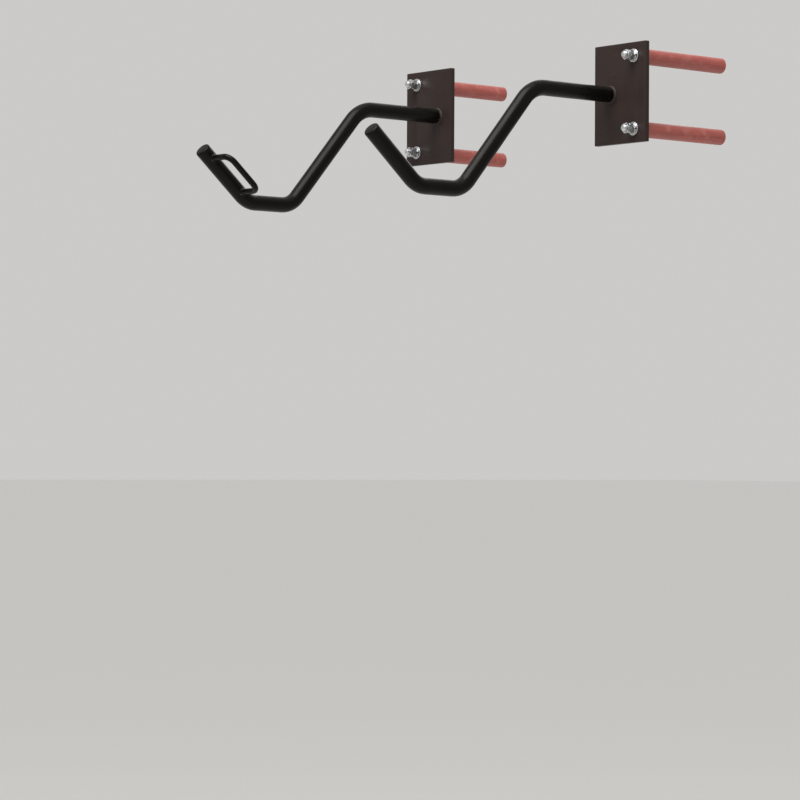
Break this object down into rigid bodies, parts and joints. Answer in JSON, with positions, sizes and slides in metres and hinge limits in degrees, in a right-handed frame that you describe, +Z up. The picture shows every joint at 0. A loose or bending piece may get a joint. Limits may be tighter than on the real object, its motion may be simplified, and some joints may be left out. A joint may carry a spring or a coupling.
{
  "type": "bicycle wall rack",
  "caption": "Wall rack for a bicycle: bent, vinyl-dipped steel arms on anchored wall plates carry it by its top tube, and a welded eye takes a lock.",
  "frame": {"origin": "on the wall's face, midway between the four anchors", "axes": "+X along the wall, from the left arm to the right one as seen from the room; +Y into the wall; +Z up"},
  "size_m": [0.5594, 0.6691, 0.2503],
  "materials": {
    "plate_paint": "semi-gloss brown-black paint, slightly worn at the edges",
    "weld_paint": "the plate's paint over a rippled weld bead",
    "tube_steel": "bare drawn steel under the coat",
    "vinyl": "satin black dipped vinyl with a fine pebble",
    "zinc": "bright zinc plate",
    "red_nylon": "moulded red nylon, satin"
  },
  "bodies": {
    "root": {"wall_plate_left": "plate_paint", "plate_weld_left": "weld_paint", "arm_tube_left": "tube_steel", "tip_plug_left": "tube_steel", "vinyl_coat_left": "vinyl", "wall_plate_right": "plate_paint", "plate_weld_right": "weld_paint", "arm_tube_right": "tube_steel", "tip_plug_right": "tube_steel", "vinyl_coat_right": "vinyl", "lock_eye": "tube_steel", "lock_eye_welds": "tube_steel", "wall_sleeve_upper_left": "red_nylon", "cone_nut_upper_left": "zinc", "anchor_stud_upper_left": "zinc", "flat_washer_upper_left": "zinc", "spring_washer_upper_left": "zinc", "hex_nut_upper_left": "zinc", "jam_nut_upper_left": "zinc", "wall_sleeve_lower_left": "red_nylon", "cone_nut_lower_left": "zinc", "anchor_stud_lower_left": "zinc", "flat_washer_lower_left": "zinc", "spring_washer_lower_left": "zinc", "hex_nut_lower_left": "zinc", "jam_nut_lower_left": "zinc", "wall_sleeve_upper_right": "red_nylon", "cone_nut_upper_right": "zinc", "anchor_stud_upper_right": "zinc", "flat_washer_upper_right": "zinc", "spring_washer_upper_right": "zinc", "hex_nut_upper_right": "zinc", "jam_nut_upper_right": "zinc", "wall_sleeve_lower_right": "red_nylon", "cone_nut_lower_right": "zinc", "anchor_stud_lower_right": "zinc", "flat_washer_lower_right": "zinc", "spring_washer_lower_right": "zinc", "hex_nut_lower_right": "zinc", "jam_nut_lower_right": "zinc"}
  },
  "joints": []
}
